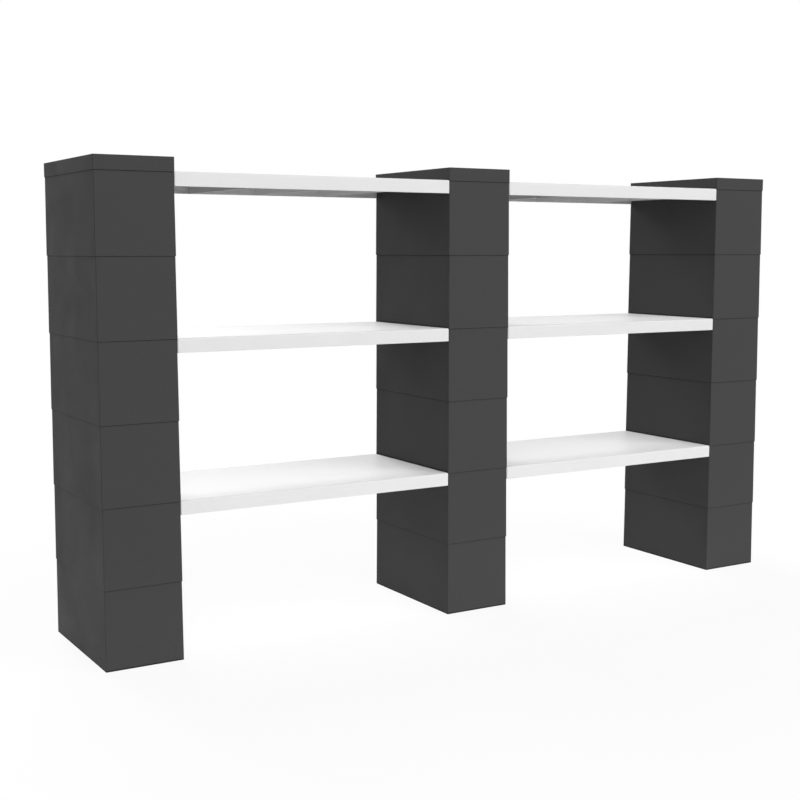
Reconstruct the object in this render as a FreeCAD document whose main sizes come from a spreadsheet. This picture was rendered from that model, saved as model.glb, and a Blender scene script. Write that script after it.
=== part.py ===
import FreeCAD, Part
import Sketcher
import functools
import math
import os

# A free-standing shelving unit of stacked plastic blocks, two bays wide. Each of its three
# columns is six hollow blocks and a flat cap. Lugs on top of a block sit in the ribbed
# underside of the next one. The shelves are hollow trays, and a thin tongue at each end lies
# over the lugs of the block below, so that the block or cap above locks it.
# Millimetres. +X runs along the shelves, +Y to the back and +Z up. The origin is on the floor,
# in the middle of the unit.

# Sizes that can each be set alone
SIZES = {
    # Blocks, outside
    "block_width": 152.4,
    "block_depth": 304.8,
    "block_height": 152.4,
    "draft_inset": 0.95,
    "corner_round": 1.5,
    "edge_round": 0.6,
    # Blocks, walls and ribs
    "block_wall": 4.0,
    "block_deck": 3.5,
    "block_rib": 2.4,
    # Raised rim that the next block stands on, around the deck
    "rim_width": 8.0,
    "rim_rise": 2.0,
    # Lugs, with their height above the rim
    "lug_radius": 25.0,
    "lug_height": 20.0,
    "lug_wall": 3.0,
    "lug_chamfer": 2.0,
    "lug_clearance": 0.3,
    # Caps
    "cap_height": 27.3,
    "cap_deck": 3.5,
    # Shelves
    "bay_width": 596.9,
    "shelf_thickness": 27.0,
    "shelf_top_rise": 1.4,
    "shelf_wall": 4.0,
    "shelf_deck": 3.5,
    "shelf_rib": 3.0,
    "shelf_corner_round": 2.5,
    "shelf_top_round": 3.0,
    # Length by which a tray's end reaches out of the bay, over the lean of the block's side
    "shelf_end_reach": 0.6,
    # Tongues at the shelf ends, and the fingers that join them to the tray
    "tongue_clearance": 0.2,
    "tongue_margin": 0.5,
    "tongue_hole_clearance": 0.5,
    "finger_width": 30.0,
    "finger_clearance": 0.5,
    # Length by which a cut runs past a face
    "overrun": 1.0,
}

# Counts
COUNTS = {"lugs_across": 2, "lugs_along": 4, "shelf_ribs": 3}
COLUMNS = ("left", "middle", "right")
BAYS = ("left_bay", "right_bay")
SHELVES = ("lower", "middle", "top")
BLOCKS_PER_SHELF = 2
BLOCKS_PER_COLUMN = BLOCKS_PER_SHELF * len(SHELVES)
COPY_COUNT_TOLERANCE = 0.01

# Places and sizes that follow from the ones above
DRAFT_ANGLE = "atan(sizes.draft_inset / sizes.block_height)"
LUG_PITCH_X = "(sizes.block_width / sizes.lugs_across)"
LUG_PITCH_Y = "(sizes.block_depth / sizes.lugs_along)"
LUG_X = f"({LUG_PITCH_X} / 2)"
LUG_Y = f"({LUG_PITCH_Y} / 2)"
LUG_TOP = "(sizes.block_height + sizes.lug_height)"
LUG_BORE = "(sizes.lug_radius - sizes.lug_wall)"
RIM_INNER_EDGE = "(sizes.draft_inset + sizes.rim_width)"
BLOCK_CEILING = "(sizes.block_height - sizes.rim_rise - sizes.block_deck)"
CAP_CEILING = "(sizes.cap_height - sizes.cap_deck)"
COLUMN_PITCH = "(sizes.bay_width + sizes.block_width)"
SHELF_LENGTH = "(sizes.bay_width + 2 * sizes.shelf_end_reach)"
SHELF_CEILING = "(sizes.shelf_thickness - sizes.shelf_deck)"
SHELF_RIB_PITCH = f"({SHELF_LENGTH} / (sizes.shelf_ribs + 1))"
SHELF_BELOW_JOINT = "(sizes.shelf_thickness - sizes.shelf_top_rise)"
TONGUE_BOTTOM = f"({SHELF_BELOW_JOINT} - sizes.rim_rise)"
TONGUE_THICKNESS = "(sizes.rim_rise - sizes.tongue_clearance)"
TONGUE_TOP = f"({TONGUE_BOTTOM} + {TONGUE_THICKNESS})"
TONGUE_START = f"(sizes.bay_width / 2 + {RIM_INNER_EDGE} + sizes.tongue_margin)"
TONGUE_END = "(sizes.bay_width / 2 + sizes.block_width / 2 - sizes.tongue_margin)"

doc = FreeCAD.newDocument("shelving_unit")
sheet = doc.addObject("Spreadsheet::Sheet", "sizes")
for row, (alias, value) in enumerate({**SIZES, **COUNTS}.items(), start=1):
    sheet.set(f"A{row}", alias)
    sheet.set(f"B{row}", str(value))
    sheet.setAlias(f"B{row}", alias)
doc.recompute()


def number(expression):
    """Present value of an expression on the sheet."""
    return float(sheet.evalExpression(expression))


def origin_feature(body, role):
    return next(f for f in body.Origin.OriginFeatures if f.Role == role)


def new_sketch(body, name, plane="XY_Plane", offset="0", across="0"):
    """Sketch on one of the body's own planes, moved along its normal and sideways."""
    sketch = body.newObject("Sketcher::SketchObject", name)
    sketch.AttachmentSupport = [(origin_feature(body, plane), "")]
    sketch.MapMode = "FlatFace"
    sketch.setExpression("AttachmentOffset.Base.z", offset)
    sketch.setExpression("AttachmentOffset.Base.x", across)
    return sketch


def hold(sketch, kind, where, expression):
    """Constraint whose value is an expression."""
    index = sketch.addConstraint(Sketcher.Constraint(kind, *where, number(expression)))
    sketch.setExpression(f"Constraints[{index}]", expression)


def hold_point(sketch, point, x, y):
    """Point held by its distances from the sketch's origin, or on an axis where one is zero."""
    for kind, axis, expression in (("DistanceX", -2, x), ("DistanceY", -1, y)):
        if expression == "0":
            sketch.addConstraint(Sketcher.Constraint("PointOnObject", *point, axis))
        else:
            hold(sketch, kind, (-1, 1, *point), expression)


def add_polygon(sketch, points):
    """Closed outline through points that are pairs of expressions."""
    places = [FreeCAD.Vector(number(x), number(y), 0) for x, y in points]
    for index, place in enumerate(places):
        sketch.addGeometry(Part.LineSegment(place, places[(index + 1) % len(places)]))
    for index, (x, y) in enumerate(points):
        following = (index + 1) % len(points)
        sketch.addConstraint(Sketcher.Constraint("Coincident", index, 2, following, 1))
        hold_point(sketch, (index, 1), x, y)


def add_rectangle(sketch, low_x, low_y, high_x, high_y):
    add_polygon(sketch, [(low_x, low_y), (high_x, low_y), (high_x, high_y), (low_x, high_y)])


def add_circle(sketch, x, y, radius):
    centre = FreeCAD.Vector(number(x), number(y), 0)
    circle = sketch.addGeometry(Part.Circle(centre, FreeCAD.Vector(0, 0, 1), number(radius)))
    hold_point(sketch, (circle, 3), x, y)
    hold(sketch, "Radius", (circle,), radius)


def add_feature(sketch, kind, name):
    """Feature that takes its profile from the sketch, in the sketch's own body."""
    feature = sketch.getParentGeoFeatureGroup().newObject(f"PartDesign::{kind}", name)
    feature.Profile = sketch
    sketch.Visibility = False
    return feature


def add_pad(sketch, name, length, symmetric=False):
    pad = add_feature(sketch, "Pad", name)
    pad.Midplane = symmetric
    pad.setExpression("Length", length)
    return pad


def add_pocket(sketch, name, length, upwards=False):
    """Cut down from the sketch, or up from it."""
    pocket = add_feature(sketch, "Pocket", name)
    pocket.Reversed = upwards
    pocket.setExpression("Length", length)
    return pocket


def add_turned(sketch, kind, name):
    """Full turn of the profile about the sketch's upright axis."""
    turned = add_feature(sketch, kind, name)
    turned.ReferenceAxis = (sketch, ["V_Axis"])
    return turned


def add_row(body, name, axis, spacing, count):
    row = body.newObject("PartDesign::LinearPattern", name)
    row.Direction = (origin_feature(body, axis), [""])
    row.Mode = "Spacing"
    row.setExpression("Offset", spacing)
    row.setExpression("Occurrences", count)
    return row


def add_mirror(body, name):
    mirror = body.newObject("PartDesign::Mirrored", name)
    mirror.MirrorPlane = (origin_feature(body, "YZ_Plane"), [""])
    return mirror


def repeat(body, name, features, rows, both_ends=False):
    """Copies of features in rows of rows, and their mirror images at the body's other end."""
    copies = body.newObject("PartDesign::MultiTransform", name)
    copies.Originals = features
    steps = [add_row(body, f"{name}_row_{index}", *row) for index, row in enumerate(rows)]
    if both_ends:
        steps.append(add_mirror(body, f"{name}_mirror"))
    copies.Transformations = steps
    body.Tip = copies


def upright(box):
    return box.ZLength > box.XLength + box.YLength


def round_edges(body, name, radius, wanted):
    """Round the edges of the body so far whose bounding box passes a test."""
    doc.recompute()
    base = body.Tip
    edges = enumerate(base.Shape.Edges, start=1)
    picked = [f"Edge{index}" for index, edge in edges if wanted(edge.BoundBox)]
    fillet = body.newObject("PartDesign::Fillet", name)
    fillet.Base = (base, picked)
    fillet.setExpression("Radius", radius)


def new_body(label, x, z):
    """Body whose own origin is at the unit's front, x from the middle and z above the floor."""
    body = doc.addObject("PartDesign::Body", label)
    body.Label = label
    for axis, expression in (("x", x), ("y", "-sizes.block_depth / 2"), ("z", z)):
        body.setExpression(f"Placement.Base.{axis}", expression)
    return body


def same_again(label, source, x, z):
    """Another piece of the same form as a piece made before, in its own place."""
    body = new_body(label, x, z)
    body.BaseFeature = source.Tip
    return body


def outline_form(body, height):
    """Plain box of a block's width and depth."""
    sketch = new_sketch(body, "outline")
    add_rectangle(sketch, "0", "0", "sizes.block_width", "sizes.block_depth")
    add_pad(sketch, "form", height)


def lean_sides_in(body):
    """Moulding draft: the sides lean in from the bottom up."""
    doc.recompute()
    form = body.Tip
    boxes = [face.BoundBox for face in form.Shape.Faces]
    sides = [
        f"Face{index}"
        for index, box in enumerate(boxes, start=1)
        if box.ZLength > min(box.XLength, box.YLength)
    ]
    draft = body.newObject("PartDesign::Draft", "draft")
    draft.Base = (form, sides)
    draft.NeutralPlane = (origin_feature(body, "XY_Plane"), [""])
    draft.setExpression("Angle", DRAFT_ANGLE)


def round_outside(body):
    """Upright edges are rounded first, and then the level ones that run into them."""
    round_edges(body, "upright_edges", "sizes.corner_round", upright)
    round_edges(body, "level_edges", "sizes.edge_round", lambda box: not upright(box))


def deck(body):
    """Floor of the recess inside the raised rim on top of a block."""
    sketch = new_sketch(body, "deck_outline", offset="sizes.block_height")
    far_x = f"sizes.block_width - {RIM_INNER_EDGE}"
    far_y = f"sizes.block_depth - {RIM_INNER_EDGE}"
    add_rectangle(sketch, RIM_INNER_EDGE, RIM_INNER_EDGE, far_x, far_y)
    add_pocket(sketch, "deck_recess", "sizes.rim_rise")


def lug_rows():
    """Axis, spacing and count of the lugs' rows, across and along a block."""
    return [
        ("X_Axis", LUG_PITCH_X, "sizes.lugs_across"),
        ("Y_Axis", LUG_PITCH_Y, "sizes.lugs_along"),
    ]


def lugs(body):
    """Round lugs on the deck, hollow and open below so that the walls stay even."""
    chamfer, wall = "sizes.lug_chamfer", "sizes.lug_wall"
    solid = new_sketch(body, "lug_profile", "XZ_Plane", f"-{LUG_Y}", LUG_X)
    add_polygon(solid, [
        ("0", BLOCK_CEILING),
        ("sizes.lug_radius", BLOCK_CEILING),
        ("sizes.lug_radius", f"{LUG_TOP} - {chamfer}"),
        (f"sizes.lug_radius - {chamfer}", LUG_TOP),
        ("0", LUG_TOP),
    ])
    bore = new_sketch(body, "lug_bore_profile", "XZ_Plane", f"-{LUG_Y}", LUG_X)
    add_polygon(bore, [
        ("0", f"{BLOCK_CEILING} - sizes.overrun"),
        (LUG_BORE, f"{BLOCK_CEILING} - sizes.overrun"),
        (LUG_BORE, f"{LUG_TOP} - {wall} - {chamfer}"),
        (f"{LUG_BORE} - {chamfer}", f"{LUG_TOP} - {wall}"),
        ("0", f"{LUG_TOP} - {wall}"),
    ])
    features = [add_turned(solid, "Revolution", "lug"), add_turned(bore, "Groove", "lug_bore")]
    repeat(body, "lugs", features, lug_rows())


def ribbed_underside(body, ceiling):
    """Hollow up to the ceiling, with ribs that cross under each lug and grip the one below."""
    wall, half_rib = "sizes.block_wall", "sizes.block_rib / 2"
    sketch = new_sketch(body, "hollow_outline")
    far_x, far_y = f"sizes.block_width - {wall}", f"sizes.block_depth - {wall}"
    add_rectangle(sketch, wall, wall, far_x, far_y)
    add_pocket(sketch, "hollow", ceiling, upwards=True)

    # The ribs start and end inside the walls
    start = f"({wall} / 2)"
    far_x, far_y = f"sizes.block_width - {start}", f"sizes.block_depth - {start}"
    long_rib = new_sketch(body, "long_rib_outline")
    add_rectangle(long_rib, f"{LUG_X} - {half_rib}", start, f"{LUG_X} + {half_rib}", far_y)
    across, along = lug_rows()
    repeat(body, "long_ribs", [add_pad(long_rib, "long_rib", ceiling)], [across])
    cross_rib = new_sketch(body, "cross_rib_outline")
    add_rectangle(cross_rib, start, f"{LUG_Y} - {half_rib}", far_x, f"{LUG_Y} + {half_rib}")
    repeat(body, "cross_ribs", [add_pad(cross_rib, "cross_rib", ceiling)], [along])

    sketch = new_sketch(body, "lug_seat_outline")
    add_circle(sketch, LUG_X, LUG_Y, "sizes.lug_radius + sizes.lug_clearance")
    depth = "sizes.lug_height + sizes.lug_clearance"
    seat = add_pocket(sketch, "lug_seat", depth, upwards=True)
    repeat(body, "lug_seats", [seat], [across, along])


def finger_notches(body, side):
    """Gaps in the rim that let a shelf's fingers in, on the left or right side of a block."""
    edges = {
        "left": ("0", RIM_INNER_EDGE),
        "right": (f"sizes.block_width - {RIM_INNER_EDGE}", "sizes.block_width"),
    }
    low_x, high_x = edges[side]
    half = "(sizes.finger_width / 2 + sizes.finger_clearance)"
    sketch = new_sketch(body, f"{side}_notch_outline", offset="sizes.block_height")
    add_rectangle(sketch, low_x, f"{LUG_Y} - {half}", high_x, f"{LUG_Y} + {half}")
    notch = add_pocket(sketch, f"{side}_notch", "sizes.rim_rise")
    repeat(body, f"{side}_notches", [notch], lug_rows()[1:])


def plain_block(label, x, z):
    body = new_body(label, x, z)
    outline_form(body, "sizes.block_height")
    lean_sides_in(body)
    round_outside(body)
    deck(body)
    lugs(body)
    ribbed_underside(body, BLOCK_CEILING)
    return body


def plain_cap(label, x, z):
    """Flat cap with upright sides, which closes the top of a column."""
    body = new_body(label, x, z)
    outline_form(body, "sizes.cap_height")
    round_outside(body)
    ribbed_underside(body, CAP_CEILING)
    return body


def tray(body):
    """Shelf with its underside and its ends open, and ribs across it at even steps."""
    wall = "sizes.shelf_wall"
    half_length = f"{SHELF_LENGTH} / 2"
    sketch = new_sketch(body, "tray_outline")
    add_rectangle(sketch, f"-{half_length}", "0", half_length, "sizes.block_depth")
    add_pad(sketch, "tray_form", "sizes.shelf_thickness")
    middle = number("sizes.shelf_thickness / 2")
    round_edges(body, "tray_corners", "sizes.shelf_corner_round", upright)
    round_edges(
        body, "tray_top_edges", "sizes.shelf_top_round",
        lambda box: not upright(box) and box.Center.z > middle,
    )
    round_edges(
        body, "tray_lower_edges", "sizes.edge_round",
        lambda box: not upright(box) and box.Center.z < middle,
    )

    past_end, far_y = f"({half_length} + sizes.overrun)", f"sizes.block_depth - {wall}"
    sketch = new_sketch(body, "tray_hollow_outline")
    add_rectangle(sketch, f"-{past_end}", wall, past_end, far_y)
    add_pocket(sketch, "tray_hollow", SHELF_CEILING, upwards=True)

    # The ribs start and end inside the walls
    start = f"({wall} / 2)"
    first = f"-{SHELF_RIB_PITCH} * (sizes.shelf_ribs - 1) / 2"
    sketch = new_sketch(body, "tray_rib_outline", "YZ_Plane", first)
    add_rectangle(sketch, start, "0", f"sizes.block_depth - {start}", SHELF_CEILING)
    rib = add_pad(sketch, "tray_rib", "sizes.shelf_rib", symmetric=True)
    repeat(body, "tray_ribs", [rib], [("X_Axis", SHELF_RIB_PITCH, "sizes.shelf_ribs")])


def tongues(body):
    """Thin plates that lie on the decks at both ends, around the lugs, on fingers of the tray."""
    row = lug_rows()[1:]
    near_y = f"({RIM_INNER_EDGE} + sizes.tongue_margin)"
    sketch = new_sketch(body, "tongue_outline", offset=TONGUE_BOTTOM)
    add_rectangle(sketch, TONGUE_START, near_y, TONGUE_END, f"sizes.block_depth - {near_y}")
    repeat(body, "tongues", [add_pad(sketch, "tongue", TONGUE_THICKNESS)], [], both_ends=True)

    # A finger starts inside the tray's deck and ends inside the plate
    half = "sizes.finger_width / 2"
    root, tip = f"{SHELF_LENGTH} / 2 - sizes.shelf_wall", f"{TONGUE_START} + sizes.rim_width / 2"
    sketch = new_sketch(body, "finger_outline", offset=TONGUE_BOTTOM)
    add_rectangle(sketch, root, f"{LUG_Y} - {half}", tip, f"{LUG_Y} + {half}")
    repeat(body, "fingers", [add_pad(sketch, "finger", TONGUE_THICKNESS)], row, both_ends=True)

    sketch = new_sketch(body, "lug_hole_outline", offset=TONGUE_TOP)
    hole_radius = "sizes.lug_radius + sizes.tongue_hole_clearance"
    add_circle(sketch, f"sizes.bay_width / 2 + {LUG_X}", LUG_Y, hole_radius)
    hole = add_pocket(sketch, "lug_hole", TONGUE_THICKNESS)
    repeat(body, "lug_holes", [hole], row, both_ends=True)


def first_shelf(label, x, z):
    body = new_body(label, x, z)
    tray(body)
    tongues(body)
    return body


def rank_from_middle(index, names):
    """How many steps a place lies to the right of the middle of its row."""
    return f"({index} - {len(names) - 1} / 2)"


def block_levels():
    """Each block's number, counted from the floor, and whether a shelf rests on it."""
    for count in range(1, BLOCKS_PER_COLUMN + 1):
        yield count, count % BLOCKS_PER_SHELF == 0


def build():
    """Every piece of the unit, each form made once and then repeated."""
    pieces = []
    forms = {}

    def add_piece(form, make, label, x, z):
        if form in forms:
            piece = same_again(label, forms[form], x, z)
        else:
            piece = forms[form] = make(label, x, z)
        pieces.append(piece)

    def notched_block(sides):
        def make(label, x, z):
            block = same_again(label, forms["block"], x, z)
            for side in sides:
                finger_notches(block, side)
            return block
        return make

    for index, column in enumerate(COLUMNS):
        x = f"{rank_from_middle(index, COLUMNS)} * {COLUMN_PITCH} - sizes.block_width / 2"
        has_bay = {"left": index > 0, "right": index < len(COLUMNS) - 1}
        sides = tuple(side for side in has_bay if has_bay[side])
        for count, carries_shelf in block_levels():
            z = f"{count - 1} * sizes.block_height"
            label = f"{column}_block_{count}"
            if carries_shelf:
                add_piece(sides, notched_block(sides), label, x, z)
            else:
                add_piece("block", plain_block, label, x, z)
        top = f"{BLOCKS_PER_COLUMN} * sizes.block_height"
        add_piece("cap", plain_cap, f"{column}_cap", x, top)

    for index, bay in enumerate(BAYS):
        x = f"{rank_from_middle(index, BAYS)} * {COLUMN_PITCH}"
        for step, shelf in enumerate(SHELVES, start=1):
            joint = f"{step * BLOCKS_PER_SHELF} * sizes.block_height"
            z = f"{joint} - {SHELF_BELOW_JOINT}"
            add_piece("shelf", first_shelf, f"{bay}_{shelf}_shelf", x, z)
    return pieces


@functools.cache
def volume(name):
    return doc.getObject(name).Shape.Volume


def growth(feature):
    """Volume that a feature adds to its body, below zero for a cut."""
    return volume(feature.Name) - volume(feature.BaseFeature.Name)


def check_features():
    """Nothing has failed, cuts take material away, pads add some, and no copy is missing."""
    for item in doc.Objects:
        if {"Invalid", "Error"} & set(item.State):
            raise RuntimeError(f"{item.Label} failed: {item.getStatusString()}")
        kind = item.TypeId.removeprefix("PartDesign::")
        if kind in ("Pad", "Pocket", "Groove") and item.BaseFeature:
            if growth(item) == 0 or (growth(item) > 0) != (kind == "Pad"):
                raise RuntimeError(f"{item.Label} changes the volume by {growth(item):.1f}")
        if kind == "MultiTransform":
            wanted = math.prod(getattr(step, "Occurrences", 2) for step in item.Transformations)
            found = 1 + growth(item) / sum(growth(original) for original in item.Originals)
            if abs(found - wanted) > COPY_COUNT_TOLERANCE:
                raise RuntimeError(f"{item.Label} has {found:.2f} copies instead of {wanted}")


def check_pieces(pieces):
    """Every piece is one valid solid. Pieces of one form share it, so it is tested once."""
    tested = []
    for piece in pieces:
        form = piece.Tip.Shape
        if piece.Shape.isNull() or len(piece.Shape.Solids) != 1:
            raise RuntimeError(f"{piece.Label} is not one solid")
        if any(form.isPartner(other) for other in tested):
            continue
        if not piece.Shape.isValid():
            raise RuntimeError(f"{piece.Label} is not valid")
        print(f"{piece.Label}: {piece.Shape.Volume:.0f} mm3")
        tested.append(form)


pieces = build()
doc.recompute()
check_features()
check_pieces(pieces)
os.makedirs("parts", exist_ok=True)
for piece in pieces:
    piece.Shape.exportStep(f"parts/{piece.Label}.step")
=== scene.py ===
import bpy
import math
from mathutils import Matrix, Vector


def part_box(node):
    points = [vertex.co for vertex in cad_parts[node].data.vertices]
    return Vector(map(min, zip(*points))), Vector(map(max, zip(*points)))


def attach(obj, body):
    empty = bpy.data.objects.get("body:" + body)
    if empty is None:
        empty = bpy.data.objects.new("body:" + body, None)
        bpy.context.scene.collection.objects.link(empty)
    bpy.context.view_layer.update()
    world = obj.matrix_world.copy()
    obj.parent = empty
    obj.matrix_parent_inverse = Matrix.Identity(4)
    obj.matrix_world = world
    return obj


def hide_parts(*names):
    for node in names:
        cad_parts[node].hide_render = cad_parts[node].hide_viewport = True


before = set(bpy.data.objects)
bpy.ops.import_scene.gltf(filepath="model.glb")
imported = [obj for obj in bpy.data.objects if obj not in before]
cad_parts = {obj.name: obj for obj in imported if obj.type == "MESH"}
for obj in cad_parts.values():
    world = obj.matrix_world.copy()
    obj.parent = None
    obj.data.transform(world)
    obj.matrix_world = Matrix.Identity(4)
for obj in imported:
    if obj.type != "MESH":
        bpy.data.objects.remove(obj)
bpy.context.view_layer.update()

# The unit is three columns of stacked plastic blocks under flat caps, with two bays of white
# tray shelves between them. All lengths in the dictionaries are millimetres.

mm = 0.001
close = 0.01 * mm  # points nearer than this count as one
overrun = 1.0  # a cutter runs past the faces that it cuts
lap = 0.5  # a rib runs this far into its deck

columns = ("left", "middle", "right")
bays = ("left_bay", "right_bay")
shelfLevels = ("lower", "middle", "top")
blocksPerShelf = 2


def pickOnly(piece):  # one object selected and active, because operators act on all that is selected
    bpy.ops.object.select_all(action="DESELECT")
    piece.select_set(True)
    bpy.context.view_layer.objects.active = piece


def pickFaces(piece, wanted):  # edit mode, with the faces that pass the test selected
    pickParts(piece, "FACE", piece.data.polygons, wanted)


def pickEdges(piece, wanted):  # the test gets an edge's two end points
    points = piece.data.vertices
    pickParts(piece, "EDGE", piece.data.edges, lambda edge: wanted(*(points[i].co for i in edge.vertices)))


def pickParts(piece, kind, parts, wanted):
    pickOnly(piece)
    bpy.ops.object.mode_set(mode="EDIT")
    bpy.ops.mesh.select_mode(type=kind)
    bpy.ops.mesh.select_all(action="DESELECT")
    bpy.ops.object.mode_set(mode="OBJECT")
    for part in parts:
        part.select = wanted(part)
    bpy.ops.object.mode_set(mode="EDIT")


def facesUp(face):
    return face.normal.z > 0.9


def leaveEdit():
    bpy.ops.object.mode_set(mode="OBJECT")


def applyLast(piece, **settings):  # sets the newest modifier and applies it
    modifier = piece.modifiers[-1]
    for name, value in settings.items():
        setattr(modifier, name, value)
    bpy.ops.object.modifier_apply(modifier=modifier.name)


def addBox(name, low, high):
    bpy.ops.object.select_all(action="DESELECT")
    bpy.ops.mesh.primitive_cube_add(size=1, location=[(a + b) / 2 * mm for a, b in zip(low, high)])
    box = bpy.context.object
    box.name = name
    bpy.ops.transform.resize(value=[(b - a) * mm for a, b in zip(low, high)])
    bpy.ops.object.transform_apply(location=True, rotation=False, scale=True)
    return box


def addDisc(name, radius, low, high, x, y, topRound=0):
    bpy.ops.object.select_all(action="DESELECT")
    bpy.ops.mesh.primitive_cylinder_add(
        vertices=lug["sides"], radius=radius * mm, depth=(high - low) * mm,
        location=(x * mm, y * mm, (low + high) / 2 * mm))
    disc = bpy.context.object
    disc.name = name
    bpy.ops.object.transform_apply(location=True, rotation=False, scale=False)
    if topRound:
        pickFaces(disc, facesUp)
        bpy.ops.mesh.region_to_loop()
        bpy.ops.mesh.bevel(offset=topRound * mm, segments=lug["topSteps"], affect="EDGES")
        leaveEdit()
    return disc


def repeat(piece, count, x=0, y=0):  # a row of copies in the same mesh
    pickOnly(piece)
    bpy.ops.object.modifier_add(type="ARRAY")
    applyLast(piece, count=count, use_relative_offset=False, use_constant_offset=True,
              constant_offset_displace=(x * mm, y * mm, 0))


def combine(piece, tool, operation):  # exact boolean; the tool is used up
    pickOnly(piece)
    bpy.ops.object.modifier_add(type="BOOLEAN")
    applyLast(piece, operation=operation, solver="EXACT", object=tool)
    bpy.data.objects.remove(tool, do_unlink=True)


def finishMesh(piece):  # clean joins, round faces smooth and flat faces flat
    pickOnly(piece)
    bpy.ops.object.mode_set(mode="EDIT")
    bpy.ops.mesh.select_all(action="SELECT")
    bpy.ops.mesh.remove_doubles(threshold=close)
    bpy.ops.mesh.dissolve_degenerate(threshold=close)
    leaveEdit()
    bpy.ops.object.shade_smooth_by_angle(angle=math.radians(30))
    bpy.ops.object.modifier_add(type="WEIGHTED_NORMAL")
    applyLast(piece, keep_sharp=True)


def placeCopy(source, node, body, material):  # own mesh, where the CAD node is
    pickOnly(source)
    bpy.ops.object.duplicate(linked=False)
    piece = bpy.context.object
    words = node.split("_")
    piece.name = words[0] + "".join(word.capitalize() for word in words[1:])
    low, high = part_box(node)
    bpy.ops.transform.translate(value=((low.x + high.x) / 2, (low.y + high.y) / 2, low.z))
    bpy.ops.object.transform_apply(location=True, rotation=False, scale=False)
    piece.data.materials.clear()
    piece.data.materials.append(material)
    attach(piece, body)
    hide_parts(node)
    return piece


block = {
    "width": 152.4, "depth": 304.8, "height": 152.4,
    "draft": 0.95,  # each side leans in by this at the top
    "cornerRound": 1.5, "cornerSteps": 4, "edgeRound": 0.6, "edgeSteps": 3,
    "wall": 4.0, "deck": 3.5, "rib": 2.4,
    "rimWidth": 8.0, "rimRise": 2.0,  # raised rim round the deck
    "notchWidth": 31.0,  # gap in the rim for a shelf's finger
}
lug = {
    "across": 2, "along": 4, "sides": 64,
    "radius": 25.0, "rise": 20.0, "wall": 3.0, "topRound": 2.0, "topSteps": 4,
    "seatGap": 0.3,
}
cap = {"height": 27.3, "deck": 3.5}

lug["stepX"] = block["width"] / lug["across"]
lug["stepY"] = block["depth"] / lug["along"]
lug["firstX"] = (lug["stepX"] - block["width"]) / 2
lug["firstY"] = (lug["stepY"] - block["depth"]) / 2


def repeatAsLugs(piece):
    repeat(piece, lug["across"], x=lug["stepX"])
    repeat(piece, lug["along"], y=lug["stepY"])


def hollowBox(name, height, ceiling, draft):  # outside form with rounded edges, open below
    halfX, halfY = block["width"] / 2, block["depth"] / 2
    form = addBox(name, (-halfX, -halfY, 0), (halfX, halfY, height))
    if draft:
        pickFaces(form, facesUp)
        bpy.ops.transform.resize(
            value=(1 - draft / halfX, 1 - draft / halfY, 1), center_override=(0, 0, 0))
        leaveEdit()
    pickEdges(form, lambda a, b: abs(a.z - b.z) > height / 2 * mm)
    bpy.ops.mesh.bevel(offset=block["cornerRound"] * mm, segments=block["cornerSteps"], affect="EDGES")
    leaveEdit()
    pickEdges(form, lambda a, b: abs(a.z - b.z) < close)
    bpy.ops.mesh.bevel(offset=block["edgeRound"] * mm, segments=block["edgeSteps"], affect="EDGES")
    leaveEdit()
    innerX, innerY = halfX - block["wall"], halfY - block["wall"]
    combine(form, addBox("hollow", (-innerX, -innerY, -overrun), (innerX, innerY, ceiling)), "DIFFERENCE")
    return form


def addRibs(piece, ceiling):  # ribs cross under each lug; seats are cut for the lugs below
    half, wall = block["rib"] / 2, block["wall"] / 2
    halfX, halfY = block["width"] / 2 - wall, block["depth"] / 2 - wall
    top = ceiling + lap
    x, y = lug["firstX"], lug["firstY"]
    longRibs = addBox("longRibs", (x - half, -halfY, 0), (x + half, halfY, top))
    repeat(longRibs, lug["across"], x=lug["stepX"])
    combine(piece, longRibs, "UNION")
    crossRibs = addBox("crossRibs", (-halfX, y - half, 0), (halfX, y + half, top))
    repeat(crossRibs, lug["along"], y=lug["stepY"])
    combine(piece, crossRibs, "UNION")
    seatDepth = lug["rise"] + lug["seatGap"]
    seats = addDisc("seats", lug["radius"] + lug["seatGap"], -overrun, seatDepth, x, y)
    repeatAsLugs(seats)
    combine(piece, seats, "DIFFERENCE")


def makeBlock():
    top = block["height"]
    deckTop = top - block["rimRise"]
    ceiling = deckTop - block["deck"]
    piece = hollowBox("blockForm", top, ceiling, block["draft"])

    edge = block["draft"] + block["rimWidth"]
    halfX, halfY = block["width"] / 2 - edge, block["depth"] / 2 - edge
    recess = addBox("recess", (-halfX, -halfY, deckTop), (halfX, halfY, top + overrun))
    combine(piece, recess, "DIFFERENCE")

    x, y = lug["firstX"], lug["firstY"]
    lugTop = top + lug["rise"]
    lugs = addDisc("lugs", lug["radius"], ceiling + overrun, lugTop, x, y, lug["topRound"])
    repeatAsLugs(lugs)
    combine(piece, lugs, "UNION")
    bores = addDisc("bores", lug["radius"] - lug["wall"], ceiling - overrun, lugTop - lug["wall"], x, y,
                    lug["topRound"])
    repeatAsLugs(bores)
    combine(piece, bores, "DIFFERENCE")
    addRibs(piece, ceiling)
    return piece


def makeCap():
    ceiling = cap["height"] - cap["deck"]
    piece = hollowBox("capForm", cap["height"], ceiling, 0)
    addRibs(piece, ceiling)
    return piece


def cutNotches(piece, side):  # side is -1 on the left and 1 on the right
    deckTop = block["height"] - block["rimRise"]
    outer = block["width"] / 2 + overrun
    inner = block["width"] / 2 - block["draft"] - block["rimWidth"] - overrun
    half = block["notchWidth"] / 2
    lowX, highX = sorted((side * inner, side * outer))
    notches = addBox("notches", (lowX, lug["firstY"] - half, deckTop),
                     (highX, lug["firstY"] + half, block["height"] + overrun))
    repeat(notches, lug["along"], y=lug["stepY"])
    combine(piece, notches, "DIFFERENCE")


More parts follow.
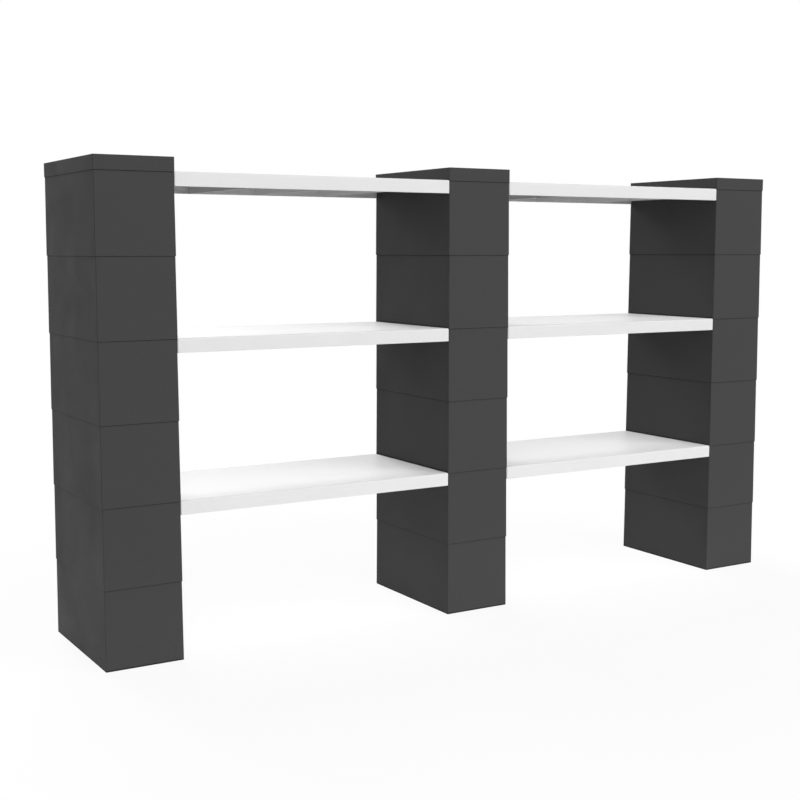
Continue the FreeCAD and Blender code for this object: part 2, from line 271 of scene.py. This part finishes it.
shelf = {
    "bay": 596.9, "endReach": 0.6,  # clear width between the columns, and how far a tray reaches past it
    "depth": 304.8, "thickness": 27.0,
    "wall": 4.0, "deck": 3.5, "rib": 3.0, "ribs": 3,
    "cornerRound": 2.5, "topRound": 3.0, "roundSteps": 6, "edgeRound": 0.6, "edgeSteps": 3,
    "topAboveJoint": 1.4,
    "tongue": 1.8,  # plate that lies on a block's deck, around its lugs
    "tongueStart": 9.45, "tongueEnd": 75.7,  # from the bay's end
    "tongueMargin": 0.5,  # gap between the tongue and the rim
    "fingerWidth": 30.0, "fingerLap": 4.0, "holeGap": 0.5,
}
shelf["length"] = shelf["bay"] + 2 * shelf["endReach"]


def makeShelf():
    halfX, halfY = shelf["length"] / 2, shelf["depth"] / 2
    top = shelf["thickness"]
    piece = addBox("shelfForm", (-halfX, -halfY, 0), (halfX, halfY, top))
    pickEdges(piece, lambda a, b: abs(a.z - b.z) > top / 2 * mm)
    bpy.ops.mesh.bevel(offset=shelf["cornerRound"] * mm, segments=shelf["roundSteps"], affect="EDGES")
    leaveEdit()
    for level, radius, steps in (
            (top, shelf["topRound"], shelf["roundSteps"]), (0, shelf["edgeRound"], shelf["edgeSteps"])):
        pickEdges(piece, lambda a, b: max(abs(a.z - level * mm), abs(b.z - level * mm)) < close)
        bpy.ops.mesh.bevel(offset=radius * mm, segments=steps, affect="EDGES")
        leaveEdit()

    wall, ceiling = shelf["wall"], top - shelf["deck"]
    hollow = addBox("hollow", (-halfX - overrun, wall - halfY, -overrun),
                    (halfX + overrun, halfY - wall, ceiling))  # the ends stay open
    combine(piece, hollow, "DIFFERENCE")
    step = shelf["length"] / (shelf["ribs"] + 1)
    first, half = -step * (shelf["ribs"] - 1) / 2, shelf["rib"] / 2
    ribs = addBox("trayRibs", (first - half, wall / 2 - halfY, 0),
                  (first + half, halfY - wall / 2, ceiling + lap))
    repeat(ribs, shelf["ribs"], x=step)
    combine(piece, ribs, "UNION")

    low = top - shelf["topAboveJoint"] - block["rimRise"]
    high = low + shelf["tongue"]
    rimEdge = block["draft"] + block["rimWidth"]
    near = halfY - rimEdge - shelf["tongueMargin"]
    bayEnd = shelf["bay"] / 2
    lugY, halfFinger = lug["firstY"], shelf["fingerWidth"] / 2
    for side in (-1, 1):
        start, end = sorted((side * (bayEnd + shelf["tongueStart"]), side * (bayEnd + shelf["tongueEnd"])))
        tongue = addBox("tongue", (start, -near, low), (end, near, high))
        fingerEnd = bayEnd + shelf["tongueStart"] + shelf["fingerLap"]
        root, tip = sorted((side * (halfX - wall), side * fingerEnd))
        fingers = addBox("fingers", (root, lugY - halfFinger, low), (tip, lugY + halfFinger, high))
        repeat(fingers, lug["along"], y=lug["stepY"])
        combine(tongue, fingers, "UNION")
        holes = addDisc("holes", lug["radius"] + shelf["holeGap"], low - overrun, high + overrun,
                        side * (bayEnd + lug["stepX"] / 2), lugY)
        repeat(holes, lug["along"], y=lug["stepY"])
        combine(tongue, holes, "DIFFERENCE")
        combine(piece, tongue, "UNION")
    return piece


def linear(hexColour):  # sRGB hex to the linear values that sockets take
    parts = [int(hexColour[i:i + 2], 16) / 255 for i in (1, 3, 5)]
    return [c / 12.92 if c <= 0.04045 else ((c + 0.055) / 1.055) ** 2.4 for c in parts] + [1]


def addNode(tree, kind, inputs=(), **settings):
    node = tree.nodes.new(kind)
    for name, value in settings.items():
        setattr(node, name, value)
    for socket, value in dict(inputs).items():
        if isinstance(value, bpy.types.NodeSocket):
            tree.links.new(value, node.inputs[socket])
        else:
            node.inputs[socket].default_value = value
    return node


def perMetre(millimetres):  # noise scale for a pattern of this size
    return 1 / (millimetres * mm)


def mouldedPlastic(name, finish):
    material = bpy.data.materials.new(name)
    material.use_nodes = True
    tree = material.node_tree
    tree.nodes.clear()
    place = addNode(tree, "ShaderNodeTexCoord").outputs["Object"]
    grain = addNode(tree, "ShaderNodeTexNoise", {
        "Vector": place, "Scale": perMetre(finish["grain"]), "Detail": 3, "Roughness": 0.6})
    flow = addNode(tree, "ShaderNodeTexNoise", {
        "Vector": place, "Scale": perMetre(finish["flow"]), "Detail": 4, "Roughness": 0.5, "Distortion": 0.6})
    tint = addNode(tree, "ShaderNodeMix", {
        "Factor": flow.outputs["Fac"], "A": linear(finish["dark"]), "B": linear(finish["light"])},
        data_type="RGBA")
    speck = addNode(tree, "ShaderNodeMapRange", {
        "Value": grain.outputs["Fac"], "From Min": 0.35, "From Max": 0.65,
        "To Min": 1 - finish["speck"], "To Max": 1 + finish["speck"]})
    colour = addNode(tree, "ShaderNodeMix", {
        "Factor": 1.0, "A": tint.outputs["Result"], "B": speck.outputs["Result"]},
        data_type="RGBA", blend_type="MULTIPLY")
    if "gap" in finish:  # painted shade: ambient occlusion darkens the colour where another face stands close
        gap = addNode(tree, "ShaderNodeAmbientOcclusion", {"Distance": finish["gap"] * mm}, samples=8)
        shade = addNode(tree, "ShaderNodeMapRange", {
            "Value": gap.outputs["AO"], "From Min": 0.55, "From Max": 0.98, "To Min": finish["gapShade"]})
        colour = addNode(tree, "ShaderNodeMix", {
            "Factor": 1.0, "A": colour.outputs["Result"], "B": shade.outputs["Result"]},
            data_type="RGBA", blend_type="MULTIPLY")
    rough = addNode(tree, "ShaderNodeMapRange", {
        "Value": flow.outputs["Fac"], "From Min": 0.3, "From Max": 0.7,
        "To Min": finish["rough"] - 0.05, "To Max": finish["rough"] + 0.05})
    wave = addNode(tree, "ShaderNodeTexNoise", {
        "Vector": place, "Scale": perMetre(finish["wave"]), "Detail": 1})
    waveBump = addNode(tree, "ShaderNodeBump", {
        "Strength": 1.0, "Distance": finish["waveDepth"] * mm, "Height": wave.outputs["Fac"]})
    grainBump = addNode(tree, "ShaderNodeBump", {
        "Strength": 1.0, "Distance": finish["grainDepth"] * mm, "Height": grain.outputs["Fac"],
        "Normal": waveBump.outputs["Normal"]})
    shader = addNode(tree, "ShaderNodeBsdfPrincipled", {
        "Base Color": colour.outputs["Result"], "Roughness": rough.outputs["Result"],
        "IOR": finish["ior"], "Specular IOR Level": finish["gloss"],
        "Normal": grainBump.outputs["Normal"]})
    addNode(tree, "ShaderNodeOutputMaterial", {"Surface": shader.outputs["BSDF"]})
    return material


# Polypropylene block, moulded in a spark-eroded steel mould: an even fine grain and a dull sheen
charcoalPolypropylene = mouldedPlastic("charcoalMouldedPolypropylene", {
    "dark": "#404040", "light": "#444444", "speck": 0.03,
    "grain": 2.4,  # really about 0.3 mm, drawn this coarse so that it shows
    "grainDepth": 0.06, "flow": 90, "wave": 45, "waveDepth": 0.05,
    "rough": 0.62, "ior": 1.49, "gloss": 0.12,
    "gap": 5.0, "gapShade": 0.05,  # painted shade: within this reach of another face, ambient occlusion darkens the colour, drawing the joints as fine dark lines
})

# Polypropylene shelf, moulded in a plainer mould: smooth white with a low, soft gloss
whitePolypropylene = mouldedPlastic("whiteMouldedPolypropylene", {
    "dark": "#E4E4E4", "light": "#E9E9E9", "speck": 0.01,
    "grain": 3.0, "grainDepth": 0.02, "flow": 120, "wave": 60, "waveDepth": 0.05,
    "rough": 0.45, "ior": 1.49, "gloss": 0.3,
})
print("materials made")


plainBlock = makeBlock()
print("block modelled:", len(plainBlock.data.polygons), "faces")


def notchedBlock(sides):
    pickOnly(plainBlock)
    bpy.ops.object.duplicate(linked=False)
    piece = bpy.context.object
    for side in sides:
        cutNotches(piece, side)
    return piece


blockForms = {
    "plain": plainBlock,
    "left": notchedBlock((1,)),
    "middle": notchedBlock((-1, 1)),
    "right": notchedBlock((-1,)),
}
capForm = makeCap()
shelfForm = makeShelf()
for form in (*blockForms.values(), capForm, shelfForm):
    finishMesh(form)
print("forms modelled: cap", len(capForm.data.polygons), "faces,",
      "shelf", len(shelfForm.data.polygons), "faces")

blocksPerColumn = blocksPerShelf * len(shelfLevels)
for column in columns:
    for count in range(1, blocksPerColumn + 1):
        form = blockForms[column if count % blocksPerShelf == 0 else "plain"]
        placeCopy(form, f"{column}_block_{count}", "frame", charcoalPolypropylene)
    placeCopy(capForm, f"{column}_cap", f"{column}_top_cap", charcoalPolypropylene)
print("columns stacked")

for bay in bays:
    for level in shelfLevels:
        placeCopy(shelfForm, f"{bay}_{level}_shelf", "frame", whitePolypropylene)
print("shelves laid")

for form in (*blockForms.values(), capForm, shelfForm):
    bpy.data.objects.remove(form, do_unlink=True)


room = {
    "floorSize": 24.0,  # metres
    "floorNear": "#F4F4F4", "floorFar": "#3C3C3C",  # what the floor gives back to the object
    "floorSeen": "#FFFFFF",
    "floorGlow": 0.9,  # share of plain white in the floor that the camera sees, near the unit
    "nearEnd": 0.7, "farStart": 1.7,  # metres from the middle; the seen floor is plain white past them
    "skyForLight": 1.47,  # from straight in front, fading to nothing at the sides
}


def seenDirectly(tree):  # 1 for rays that show the background, 0 for rays that light the object
    path = addNode(tree, "ShaderNodeLightPath")
    mirrored = addNode(tree, "ShaderNodeMath", {
        0: path.outputs["Is Glossy Ray"], 1: path.outputs["Is Transmission Ray"]}, operation="MAXIMUM")
    return addNode(tree, "ShaderNodeMath", {
        0: path.outputs["Is Camera Ray"], 1: mirrored.outputs[0]}, operation="MAXIMUM").outputs[0]


world = bpy.data.worlds.new("studio")
bpy.context.scene.world = world
world.use_nodes = True
sky = world.node_tree
sky.nodes.clear()
skyWay = addNode(sky, "ShaderNodeTexCoord").outputs["Generated"]
skyBack = addNode(sky, "ShaderNodeSeparateXYZ", {"Vector": skyWay}).outputs["Y"]
skyFade = addNode(sky, "ShaderNodeMapRange", {
    "Value": skyBack, "From Min": 0.0, "From Max": -1.0, "To Max": room["skyForLight"]})
skyLevel = addNode(sky, "ShaderNodeMapRange", {
    "Value": seenDirectly(sky), "To Min": skyFade.outputs["Result"], "To Max": 1.0})
skyGlow = addNode(sky, "ShaderNodeBackground", {
    "Color": linear("#FFFFFF"), "Strength": skyLevel.outputs["Result"]})
addNode(sky, "ShaderNodeOutputWorld", {"Surface": skyGlow.outputs["Background"]})

bpy.ops.object.select_all(action="DESELECT")
bpy.ops.mesh.primitive_plane_add(size=room["floorSize"])
floor = bpy.context.object
floor.name = "floor"
floorPaint = bpy.data.materials.new("matWhiteFloor")
floorPaint.use_nodes = True
paint = floorPaint.node_tree
paint.nodes.clear()
seen = seenDirectly(paint)
floorPlace = addNode(paint, "ShaderNodeTexCoord").outputs["Object"]
distance = addNode(paint, "ShaderNodeVectorMath", {0: floorPlace}, operation="LENGTH").outputs["Value"]
outwards = addNode(paint, "ShaderNodeMapRange", {
    "Value": distance, "From Min": room["nearEnd"], "From Max": room["farStart"]}).outputs["Result"]
colourForLight = addNode(paint, "ShaderNodeMix", {
    "Factor": outwards, "A": linear(room["floorNear"]), "B": linear(room["floorFar"])}, data_type="RGBA")
floorColour = addNode(paint, "ShaderNodeMix", {
    "Factor": seen, "A": colourForLight.outputs["Result"], "B": linear(room["floorSeen"])}, data_type="RGBA")
matFloor = addNode(paint, "ShaderNodeBsdfDiffuse", {"Color": floorColour.outputs["Result"]})
glow = addNode(paint, "ShaderNodeEmission", {"Color": linear("#FFFFFF"), "Strength": 1.0})
glowShare = addNode(paint, "ShaderNodeMapRange", {
    "Value": outwards, "To Min": room["floorGlow"], "To Max": 1.0})
share = addNode(paint, "ShaderNodeMath", {0: seen, 1: glowShare.outputs["Result"]}, operation="MULTIPLY")
floorMix = addNode(paint, "ShaderNodeMixShader", {
    "Fac": share.outputs[0], 1: matFloor.outputs["BSDF"], 2: glow.outputs["Emission"]})
addNode(paint, "ShaderNodeOutputMaterial", {"Surface": floorMix.outputs["Shader"]})
floor.data.materials.append(floorPaint)

lamps = {  # softboxes round the object; turn is from the front to the right, in degrees
    "frontLamp": {"turn": 0, "height": 20, "power": 120},
    "rightLamp": {"turn": 38, "height": 26, "power": 155},
    "backLamp": {"turn": 180, "height": 36, "power": 570},
    "leftLamp": {"turn": -90, "height": 12, "power": 37},
}
lampSize, lampReach, lampTarget = 3.8, 8.0, Vector((0, 0, 0.45))  # metres
for name, lamp in lamps.items():
    turn, height = math.radians(lamp["turn"]), math.radians(lamp["height"])
    away = Vector((math.sin(turn) * math.cos(height), -math.cos(turn) * math.cos(height), math.sin(height)))
    bpy.ops.object.light_add(type="AREA", location=lampTarget + away * lampReach)
    softbox = bpy.context.object
    softbox.name = name
    softbox.data.shape = "SQUARE"
    softbox.data.size = lampSize
    softbox.data.energy = lamp["power"]
    softbox.rotation_euler = (-away).to_track_quat("-Z", "Y").to_euler()

camera = {  # as the photograph was taken; place in metres, angles in degrees
    "place": (-1.5555, -2.4168, 0.7742), "turn": 31.0, "down": 6.61, "lens": 58.46,
}
bpy.ops.object.camera_add(
    location=camera["place"],
    rotation=(math.radians(90 - camera["down"]), 0, -math.radians(camera["turn"])))
view = bpy.context.object
view.name = "photoView"
view.data.lens = camera["lens"]
view.data.sensor_width = 36
bpy.context.scene.camera = view
bpy.context.scene.view_settings.view_transform = "Standard"
print("room, light and camera set")
